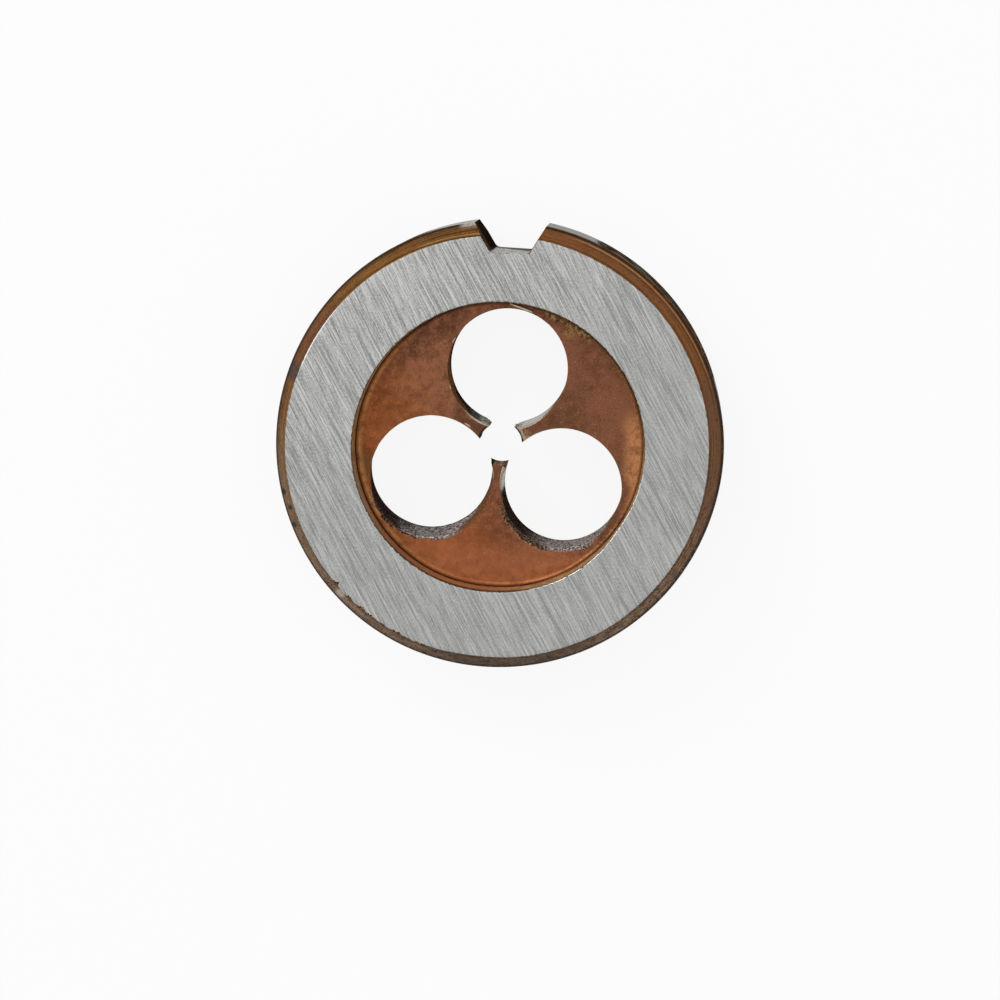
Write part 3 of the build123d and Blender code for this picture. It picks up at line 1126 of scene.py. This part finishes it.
# %% Wear of the two edges of the ring
lip_wear = 0.005 * waves(point_angle, 30, 200) + 0.007 * waves(point_angle, 3, 12)
lip_wear += near_angle(point_angle, 225, 32) * 0.009 * waves(point_angle, 90, 300)
lip_wear -= 0.030 * near_angle(point_angle, 330, 8)
beside_lip = np.abs(point_radius - RECESS_RADIUS - EDGE_BREAK / 2) < 0.9 * EDGE_BREAK
lip = beside_lip & (from_face < 2.5 * EDGE_BREAK)

ring_wear = 0.003 * waves(point_angle, 40, 250) + 0.005 * waves(point_angle, 4, 16)
ring_wear += near_angle(point_angle, 238, 20) * (0.008 * waves(point_angle, 40, 160) - 0.006)
ring_edge = (np.abs(point_radius - RING_RADIUS) < 0.03) & (from_face < 0.05)
print("lip points moved:", int(lip.sum()), " ring edge points moved:", int(ring_edge.sum()))

# %% Drift of the bevel and the recess
ring_drift = 0.044 * np.cos(point_angle - radians(219)) - 0.045 * near_angle(point_angle, 269, 13)
rim_drift = -0.022 - 0.030 * near_angle(point_angle, 168, 60)
rim_drift += 0.034 * near_angle(point_angle, 4, 15) + 0.020 * near_angle(point_angle, 243, 25)
down = np.clip(from_face / BEVEL_HEIGHT, 0, 1)
bevel_drift = (1 - down) * ring_drift + down * rim_drift
on_bevel = point_radius > RING_RADIUS - 0.03
recess_wall = (point_radius > 4.95) & (point_radius < RECESS_RADIUS + 1.5 * EDGE_BREAK)
recess_bulge = 0.045 * near_angle(point_angle, 193, 30) - 0.045 * near_angle(point_angle, 271, 17)

# %% Moving the points
shift = np.where(lip, lip_wear, 0)
shift = shift + np.where(ring_edge, ring_wear, 0) + np.where(on_bevel, bevel_drift, 0)
shift += recess_wall * recess_bulge
points[:, 0] += shift * np.cos(point_angle) + RECESS_DRIFT[0] * recess_wall
points[:, 1] += shift * np.sin(point_angle) + RECESS_DRIFT[1] * recess_wall
blank.data.vertices.foreach_set("co", points.ravel())
blank.data.update()
print("furthest a point was pushed, in mm:", round(float(np.abs(shift).max()), 3))

# %% [markdown]
# Each face of the blank now gets the finish of the step that made it. Where a face lies tells which:
# its distance from the axis, and its depth under the nearer of the two ground faces.

# %% Finishes on the blank
BLANK_FINISHES = [ground_face, ground_rim, recess_scale, bevel_scale, recess_lip]
EDGE_DRIFT = 0.08
LEVEL = 0.0005
blank.data.materials.clear()
for finish in BLANK_FINISHES:
    blank.data.materials.append(finish)
for face in blank.data.polygons:
    radius = sqrt(face.center.x**2 + face.center.y**2)
    depth = DISC_HEIGHT / 2 - abs(face.center.z - DISC_HEIGHT / 2)
    if radius > RING_RADIUS and depth > BEVEL_HEIGHT + 0.008:
        finish = ground_rim
    elif radius > RING_RADIUS - EDGE_DRIFT and depth > LEVEL:
        finish = bevel_scale
    elif radius > RECESS_RADIUS - EDGE_DRIFT and depth < LEVEL:
        finish = ground_face
    elif depth < 1.3 * EDGE_BREAK:
        finish = recess_lip
    else:
        finish = recess_scale
    face.material_index = BLANK_FINISHES.index(finish)

# %% [markdown]
# ## Chip holes
#
# The drill is spun on the lathe too, a touch wider beyond the faces of the web, so that it leaves
# broken edges. The tree sets one drill on each point that it is given. The points carry how far the
# drill leans, how thick it is and on which sides its edge was dressed, because no two holes of a
# drilled pattern are quite alike. Noise then roughens the walls, and beside the bore the edge is
# broken further, where the cutting edges were dressed by hand.

# %% The drills are set out
def named(tree, name):
    """A vector that the points carry, by its name."""
    made = add_node(tree, "GeometryNodeInputNamedAttribute", {"Name": name}, data_type="FLOAT_VECTOR")
    return made.outputs["Attribute"]


drills, given = new_tree(
    "chip_hole_drills",
    ("Profile", "Object", None),
    ("Sides", "Int", 160),
    ("Wall Grain", "Float", 0.03),
    ("Land Break", "Float", 0.05),
    ("Finish", "Material", None),
)
outline = add_node(drills, "GeometryNodeObjectInfo", {"Object": given["Profile"]}).outputs["Geometry"]
keep_place = drills.nodes.new("GeometryNodeCaptureAttribute")
keep_place.capture_items.new("VECTOR", "own place")
drills.links.new(add_lathe(outline, given["Sides"]), keep_place.inputs["Geometry"])
drills.links.new(add_node(drills, "GeometryNodeInputPosition").outputs[0], keep_place.inputs[1])
own_place = keep_place.outputs[1]
facts = {"Rotation": named(drills, "turned"), "Scale": named(drills, "thickness")}
real = set_on(given["Geometry"], keep_place.outputs[0], **facts)

# %% Their edges are dressed beside the bore
outward_here = calculate_vector("NORMALIZE", flattened(own_place))
to_bore = lean(outward_here, (-1, 0, 0))
to_left = step(lean(outward_here, (0, 1, 0)), -0.1, 0.1)
dressed = parts_of(named(drills, "dressed"))
feeds = {0: to_left, 2: dressed["Y"], 3: dressed["X"]}
on_this_side = add_node(drills, "ShaderNodeMix", feeds).outputs[0]
level = parts_of(own_place)["Z"]
widening = both(step(to_bore, 0.66, 0.96), step(level, -0.09, 0.01), on_this_side)
widening = calculate("MULTIPLY", widening, given["Land Break"])
outward_there = spun_by(outward_here, parts_of(named(drills, "turned"))["Z"])
broken = moved(real, Offset=scaled(outward_there, widening))

# %% Their walls are roughened
inside = both(step(level, 0.0, -0.15), step(level, -2.5, -2.35))
grained = roughened(broken, 6.0, 3.0, given["Wall Grain"], inside)
end_tree(grained, given["Finish"])

# %% The three holes
HOLES = [
    # angle round the disc, distance from the axis, radius, drift of the far end, dressed sides
    (87.1, 2.731, 2.140, (-0.02, -0.01), (1, 1)),
    (209.3, 2.690, 2.195, (-0.150, 0.095), (0, 0)),
    (328.4, 2.728, 2.148, (0.012, -0.012), (0, 1)),
]
DRILL_RADIUS = 2.15
WEB = 2.5
FLARE = 0.025
for angle, distance, radius, *_ in HOLES:
    print(f"chip hole at {angle} degrees: {2 * radius:.2f} mm wide, {distance} mm from the axis")

# %% The drill's outline
drill_profile = [(0, 0, -3.3), (DRILL_RADIUS + FLARE, 0, -3.3), (DRILL_RADIUS + FLARE, 0, -WEB - 0.015)]
drill_profile += [(DRILL_RADIUS, 0, -WEB + 0.02 + (WEB - 0.04) / 20 * row) for row in range(21)]
drill_profile += [(DRILL_RADIUS + FLARE, 0, 0.015), (DRILL_RADIUS + FLARE, 0, 0.8), (0, 0, 0.8)]
drill_outline = chain_object("drill_outline", drill_profile)

# %% Drilling
hole_places = [(d * cos(radians(a)), d * sin(radians(a)), WEB_TOP) for a, d, *_ in HOLES]
chip_drills = chain_object("chip_drills", hole_places, joined=False)
leans = []
for angle, _, _, (drift_x, drift_y), _ in HOLES:
    away = drift_x * cos(radians(angle)) + drift_y * sin(radians(angle))
    across = -drift_x * sin(radians(angle)) + drift_y * cos(radians(angle))
    leans.append((across / WEB, -away / WEB, radians(angle)))
hole_facts = {
    "turned": leans,
    "thickness": [(radius / DRILL_RADIUS, radius / DRILL_RADIUS, 1) for _, _, radius, _, _ in HOLES],
    "dressed": [(left, right, 0) for *_, (left, right) in HOLES],
}
give_facts(chip_drills, hole_facts)
hole_settings = {"Sides": 168, "Wall_Grain": 0.035, "Land_Break": 0.07, "Finish": drilled_wall}
run_tree(drills, chip_drills, Profile=drill_outline, **hole_settings)
bpy.data.objects.remove(drill_outline)
report(chip_drills)

# %% [markdown]
# ## Notch
#
# The notch is a short bar with leaning flanks and small rounds at its floor. Its outline is drawn
# once, at several heights, and the outermost outlines are a touch larger, which breaks the edges on
# the two ground faces. One flank leans a little more than the other.

# %% The notch's outline
NOTCH_FLOOR = 6.87
NOTCH_HALF_WIDTH = 0.675
NOTCH_LEANS = {"right": radians(28.5), "left": radians(33.5)}
NOTCH_ROUNDS = {"right": 0.20, "left": 0.26}
NOTCH_REACH = 1.9


def half_outline(lean, rounding, grow):
    """One half of the notch seen from above, from the middle of its floor out to its mouth."""
    floor_line = NOTCH_FLOOR - grow
    half = NOTCH_HALF_WIDTH + grow * tan(radians(30))
    back = rounding * tan((radians(90) - lean) / 2)
    outline = [(0.3, floor_line)]
    for part in range(7):
        swing = radians(-90) + part / 6 * (radians(90) - lean)
        outline.append((half - back + rounding * cos(swing), floor_line + rounding * (1 + sin(swing))))
    for share in (0.15, 0.3, 0.45, 0.6, 0.75, 1.0):
        outline.append((half + NOTCH_REACH * share * tan(lean), floor_line + NOTCH_REACH * share))
    return outline


def notch_outline(grow):
    """The whole notch seen from above, from the left end of its mouth to the right end."""
    left_half = half_outline(NOTCH_LEANS["left"], NOTCH_ROUNDS["left"], grow)
    right_half = half_outline(NOTCH_LEANS["right"], NOTCH_ROUNDS["right"], grow)
    return [(-x, y) for x, y in reversed(left_half)] + [(0.0, NOTCH_FLOOR - grow)] + right_half


# %% The notch's bar
def stack_outlines(name, outlines, heights, finish):
    """Join equal outlines at rising heights into one closed bar."""
    count = len(outlines[0])
    verts = [(x, y, z) for outline, z in zip(outlines, heights) for x, y in outline]
    faces = [tuple(reversed(range(count)))]
    for level in range(len(heights) - 1):
        low = level * count
        high = low + count
        for i in range(count):
            j = (i + 1) % count
            faces.append((low + i, low + j, high + j, high + i))
    faces.append(tuple(range((len(heights) - 1) * count, len(heights) * count)))
    mesh = bpy.data.meshes.new(name)
    mesh.from_pydata(verts, [], faces)
    mesh.materials.append(finish)
    made = bpy.data.objects.new(name, mesh)
    bpy.context.collection.objects.link(made)
    work = bmesh.new()
    work.from_mesh(mesh)
    bmesh.ops.recalc_face_normals(work, faces=work.faces)
    work.to_mesh(mesh)
    work.free()
    return made


notch_heights = [-0.5, -0.01, 0.02, 1.5, 3.5, DISC_HEIGHT - 0.02, DISC_HEIGHT + 0.01, DISC_HEIGHT + 0.5]
notch_growth = [0.03, 0.03, 0.0, 0.0, 0.0, 0.0, 0.03, 0.03]
notch_outlines = [notch_outline(grow) for grow in notch_growth]
notch_bar = stack_outlines("notch_bar", notch_outlines, notch_heights, milled_notch)
report(notch_bar)

# %% [markdown]
# ## Set screw dimples
#
# Two shallow cones in the rim take the points of the holder's screws. They are one cone on the
# lathe, laid on its side and set out by angle.

# %% The dimples' tree
dimples, given = new_tree(
    "set_screw_dimples",
    ("Sides", "Int", 48),
    ("Half Angle", "Float", 0.0),
    ("Height", "Float", 2.5),
    ("Finish", "Material", None),
)
cone = add_lathe(given["Geometry"], given["Sides"])
laid = add_node(dimples, "GeometryNodeTransform", {"Geometry": cone, "Rotation": (0, pi / 2, 0)})
number = add_node(dimples, "GeometryNodeInputIndex").outputs[0]
side_sign = calculate("MULTIPLY_ADD", number, 2.0, -1.0)
turned = calculate("MULTIPLY_ADD", side_sign, given["Half Angle"], pi / 2)
seat = add_node(dimples, "ShaderNodeCombineXYZ", {"Z": given["Height"]}).outputs[0]
marks = add_node(dimples, "GeometryNodePoints", {"Count": 2, "Position": seat}).outputs[0]
facing_out = add_node(dimples, "ShaderNodeCombineXYZ", {"Z": turned}).outputs[0]
end_tree(set_on(marks, laid.outputs[0], Rotation=facing_out), given["Finish"])

# %% The dimples' cones
DIMPLE_RADIUS = 0.6
DIMPLE_DEPTH = 0.6
cone_profile = [(0, 0, RIM_RADIUS - DIMPLE_DEPTH), (DIMPLE_RADIUS, 0, RIM_RADIUS - 0.02)]
cone_profile += [(DIMPLE_RADIUS + 0.06, 0, RIM_RADIUS + 0.01), (DIMPLE_RADIUS + 0.3, 0, RIM_RADIUS + 0.3)]
cone_profile += [(0, 0, RIM_RADIUS + 0.3)]
dimple_cones = chain_object("dimple_cones", cone_profile)
run_tree(dimples, dimple_cones, Sides=48, Half_Angle=radians(60), Height=2.5, Finish=dark_scale)
report(dimple_cones)

# %% [markdown]
# ## Thread
#
# The tap that cuts the bore is again one profile on the lathe, a plain rod with close rows. A second
# step then pushes each point in or out by the shape of the thread. How far depends only on where
# the point stands between two turns of the screw, which is its height in pitches less its share of
# a full turn. That makes the helix, and the sign makes it right-handed. The last grooves get shallow
# towards the upper mouth, so that no groove opens a gap in the web's face.

# %% The tap's tree
tap, given = new_tree(
    "tap",
    ("Sides", "Int", 128),
    ("Pitch", "Float", 0.4),
    ("Crest Diameter", "Float", 1.51),
    ("Root Diameter", "Float", 2.02),
    ("Start", "Float", 0.0),
    ("Finish", "Material", None),
)
rod = add_lathe(given["Geometry"], given["Sides"])
position = add_node(tap, "GeometryNodeInputPosition").outputs[0]
parts = parts_of(position)
around = calculate("DIVIDE", calculate("ARCTAN2", parts["Y"], parts["X"]), 2 * pi)
turns = calculate("SUBTRACT", calculate("DIVIDE", parts["Z"], given["Pitch"]), around)
between = calculate("FRACT", calculate("ADD", turns, given["Start"]))
triangle = calculate("ABSOLUTE", calculate("MULTIPLY_ADD", between, 2, -1))
feeds = {"Value": triangle, "From Min": 0.20, "From Max": 0.88, "To Min": 0.0, "To Max": 1.0}
tooth = add_node(tap, "ShaderNodeMapRange", feeds).outputs["Result"]
tooth = both(tooth, step(parts["Z"], 3.45, 3.70, 1.0, 0.30))
ratio = calculate("DIVIDE", given["Root Diameter"], given["Crest Diameter"])
growth = calculate("SUBTRACT", ratio, 1)
widened = calculate("MULTIPLY_ADD", tooth, growth, 1)
stretch = add_node(tap, "ShaderNodeCombineXYZ", {"X": widened, "Y": widened, "Z": 1.0}).outputs[0]
pushed = calculate_vector("MULTIPLY", position, stretch)
end_tree(moved(rod, Position=pushed), given["Finish"])

# %% The tap
PITCH = 0.4
CREST_RADIUS = 0.755
ROOT_RADIUS = 1.01
FIRST_TURN = 0.67
TAP_FOOT = 1.0
TAP_LENGTH = 3.0
ROWS_IN_A_PITCH = 16
row_count = int(TAP_LENGTH / PITCH * ROWS_IN_A_PITCH) + 1
tap_rows = [TAP_FOOT + PITCH / ROWS_IN_A_PITCH * row for row in range(row_count)]
tap_profile = [(0, 0, tap_rows[0])] + [(CREST_RADIUS, 0, z) for z in tap_rows] + [(0, 0, tap_rows[-1])]
thread_tap = chain_object("thread_tap", tap_profile)
tap_settings = {
    "Pitch": PITCH,
    "Crest_Diameter": 2 * CREST_RADIUS,
    "Root_Diameter": 2 * ROOT_RADIUS,
    "Start": FIRST_TURN,
}
run_tree(tap, thread_tap, Sides=120, Finish=cut_thread, **tap_settings)
thread_tap.data.transform(Matrix.Translation(BORE_DRIFT))
report(thread_tap)

# %% [markdown]
# A short cone opens each mouth of the bore, so that the rod finds its way in. The countersink that
# cut the upper one sat a little off the bore's axis, so it took more from one land than from the
# others. The lower one is deeper.

# %% Lead cones
def lead_cone(mouth, base, depth, drift, upper):
    """A cone that opens one mouth of the bore, from its base radius out to its mouth radius."""
    flare = mouth + 0.3 * (mouth - base) / depth
    cone_points = [(0, 0, -depth), (base, 0, -depth), (flare, 0, 0.3), (0, 0, 0.3)]
    if upper:
        points = [(x, y, WEB_TOP + z) for x, y, z in cone_points]
    else:
        points = [(x, y, DISC_HEIGHT - WEB_TOP - z) for x, y, z in reversed(cone_points)]
    made = run_tree(lathe, chain_object("lead_cone", points), Sides=96)
    made.data.transform(Matrix.Translation(drift))
    made.data.materials.clear()
    made.data.materials.append(lead_bevel)
    report(made)
    return made


upper_cone = lead_cone(mouth=0.82, base=0.64, depth=0.50, drift=(0.132, 0.044, 0), upper=True)
lower_cone = lead_cone(mouth=0.96, base=0.72, depth=0.80, drift=BORE_DRIFT, upper=False)

# %% [markdown]
# ## Chipped edge
#
# One stretch of the ring's edge has been knocked about, and small chips have broken out of it. Each
# chip is a ball, stretched along the edge and roughened with noise. A list gives the angle, the
# length and the bite of each, and the tree reads them from the points that it is given.

# %% The chips' tree
chips, given = new_tree(
    "edge_chips",
    ("Roughness", "Float", 0.1),
    ("Finish", "Material", None),
)
ball = add_node(chips, "GeometryNodeMeshIcoSphere", {"Radius": 1.0, "Subdivisions": 4}).outputs["Mesh"]
facts = {"Rotation": named(chips, "turned"), "Scale": named(chips, "size")}
real = set_on(given["Geometry"], ball, **facts)
end_tree(roughened(real, 11.0, 2.0, given["Roughness"]), given["Finish"])

# %% The chips
CHIPS = [
    # angle, half length along the edge, bite into the ring, depth
    (223.9, 0.15, 0.060, 0.05),
    (229.3, 0.12, 0.065, 0.05),
    (234.0, 0.12, 0.070, 0.05),
    (236.2, 0.10, 0.050, 0.04),
    (245.3, 0.20, 0.050, 0.05),
    (252.6, 0.17, 0.045, 0.05),
    (264.0, 0.13, 0.035, 0.04),
]
CHIP_RADIUS = RING_RADIUS + 0.035
chip_angles = [radians(angle) for angle, *_ in CHIPS]
chip_places = [(CHIP_RADIUS * cos(angle), CHIP_RADIUS * sin(angle), DISC_HEIGHT) for angle in chip_angles]
edge_chips = chain_object("edge_chips", chip_places, joined=False)
chip_facts = {
    "turned": [(0, 0, radians(angle)) for angle, *_ in CHIPS],
    "size": [(bite, length, depth) for _, length, bite, depth in CHIPS],
}
give_facts(edge_chips, chip_facts)
run_tree(chips, edge_chips, Roughness=0.30, Finish=dark_scale)
report(edge_chips)

# %% [markdown]
# ## Cutting
#
# Each shape is now taken out of the blank in turn. The Boolean modifier carries the finish of each
# shape over to the faces that it cuts, so no face has to be picked out afterwards.

# %% Taking the shapes out
def cut(body, cutter):
    """Take one shape out of the body, and let its finish come with the new faces."""
    modifier = body.modifiers.new("cut", "BOOLEAN")
    modifier.operation = "DIFFERENCE"
    modifier.solver = "MANIFOLD"
    modifier.material_mode = "TRANSFER"
    modifier.object = cutter
    keep_result(body)
    bpy.data.objects.remove(cutter)


for cutter in (chip_drills, notch_bar, dimple_cones, thread_tap, upper_cone, lower_cone, edge_chips):
    cut(blank, cutter)
report(blank)

# %% [markdown]
# ## The finished die
#
# The mesh has been made in millimetres, where the Boolean steps are exact. It is now tidied, shaded
# smooth except over real edges, and made metres.

# %% Tidying the mesh
MERGE_DISTANCE = 0.00001
SHARP_ANGLE = radians(28)
METRES_PER_MILLIMETRE = 0.001
work = bmesh.new()
work.from_mesh(blank.data)
bmesh.ops.remove_doubles(work, verts=work.verts, dist=MERGE_DISTANCE)
for face in work.faces:
    face.smooth = True
work.to_mesh(blank.data)
work.free()
report(blank)
blank.data.set_sharp_from_angle(angle=SHARP_ANGLE)
blank.data.transform(Matrix.Scale(METRES_PER_MILLIMETRE, 4))

# %% Leaving out what the trees needed
for spare in [*hole_facts, *chip_facts]:
    if spare in blank.data.attributes:
        blank.data.attributes.remove(blank.data.attributes[spare])
blank.data.update()
print("finishes on the die:", [material.name for material in blank.data.materials])
print("attributes left:", [attribute.name for attribute in blank.data.attributes])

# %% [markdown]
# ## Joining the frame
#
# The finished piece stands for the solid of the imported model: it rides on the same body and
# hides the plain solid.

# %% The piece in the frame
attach(blank, "root")
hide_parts("die_body")
